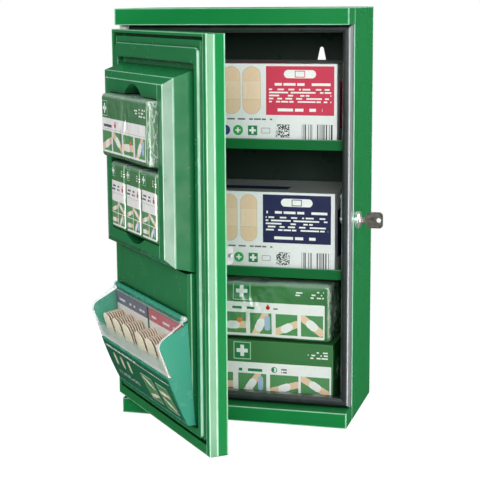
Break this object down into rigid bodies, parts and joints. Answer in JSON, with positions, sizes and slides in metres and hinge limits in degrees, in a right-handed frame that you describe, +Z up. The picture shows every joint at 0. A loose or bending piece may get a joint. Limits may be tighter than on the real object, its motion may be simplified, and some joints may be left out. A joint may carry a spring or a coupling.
{
  "type": "first aid cabinet",
  "caption": "Wall-mounted steel first aid cabinet with a lockable door that carries a kit pocket and a plaster dispenser, and shelves of cartons behind it.",
  "frame": {"origin": "centre of the underside of the case, level with its lowest face", "axes": "+Z up, -Y out of the front of the case, +X to the right of someone who faces the case"},
  "size_m": [0.3783, 0.4155, 0.56],
  "materials": {
    "green_paint": "satin",
    "dark_green_paint": "satin",
    "teal_plastic": "gloss",
    "slate_rubber": "satin",
    "clear_plastic": "gloss",
    "zinc": "satin",
    "chrome": "polished",
    "nickel_key": "satin",
    "nylon": "matte",
    "white_card": "matte",
    "green_card": "matte",
    "printed_paper": "satin",
    "wrapped_plaster": "matte",
    "film": "gloss"
  },
  "bodies": {
    "case": {"left_side_panel": "green_paint", "right_side_panel": "green_paint", "back_panel": "green_paint", "top_cap": "green_paint", "ceiling_panel": "green_paint", "bottom_tray": "green_paint", "floor_panel": "green_paint", "door_seal": "slate_rubber", "upper_shelf": "green_paint", "lower_shelf": "green_paint", "shelf_studs": "zinc", "upper_hinge_pin": "zinc", "lower_hinge_pin": "zinc", "lock_housing": "chrome", "lock_nut": "zinc", "upper_refill_box": "white_card", "middle_refill_box": "white_card", "protection_kit_box": "green_card", "film_wrapped_dressing": "film"},
    "door": {"door_shell": "dark_green_paint", "door_rear_panel": "dark_green_paint", "upper_hinge_bush": "nylon", "lower_hinge_bush": "nylon", "strike_bracket": "zinc", "strike_pin": "zinc", "strike_screws": "zinc", "door_insert": "teal_plastic", "insert_screws": "zinc", "pocket_housing": "teal_plastic", "dressing_pouch": "film", "left_mini_pouch": "film", "middle_mini_pouch": "film", "right_mini_pouch": "film", "dispenser_plate": "teal_plastic", "dispenser_body": "teal_plastic", "dispenser_screws": "zinc", "dispenser_front_label": "printed_paper", "lid_hinge_rod": "zinc", "left_refill_tray": "white_card", "right_refill_tray": "white_card", "left_refill_card": "printed_paper", "right_refill_card": "printed_paper", "left_plaster_strips": "wrapped_plaster", "right_plaster_strips": "wrapped_plaster"},
    "dispenser_lid": {"dispenser_lid": "clear_plastic"},
    "lock": {"lock_plug": "chrome", "lock_cam": "chrome", "cam_screw": "zinc"},
    "key": {"key": "nickel_key"}
  },
  "joints": [
    {"name": "door_hinge", "type": "hinge", "parent": "case", "child": "door", "pos_m": [-0.1515, -0.074, 0.28], "axis": [0, 0, 1], "range_deg": [-50.3, 49.7]},
    {"name": "lid_hinge", "type": "hinge", "parent": "door", "child": "dispenser_lid", "pos_m": [-0.07755, -0.20928, 0.191], "axis": [-0.6468, 0.7627, 0], "range_deg": [0, 100]},
    {"name": "lock_turn", "type": "hinge", "parent": "case", "child": "lock", "pos_m": [0.1595, -0.027, 0.2756], "axis": [1, 0, 0], "range_deg": [0, 90]},
    {"name": "key_pull", "type": "slide", "parent": "lock", "child": "key", "axis": [1, 0, 0], "range_m": [0, 0.03]}
  ]
}
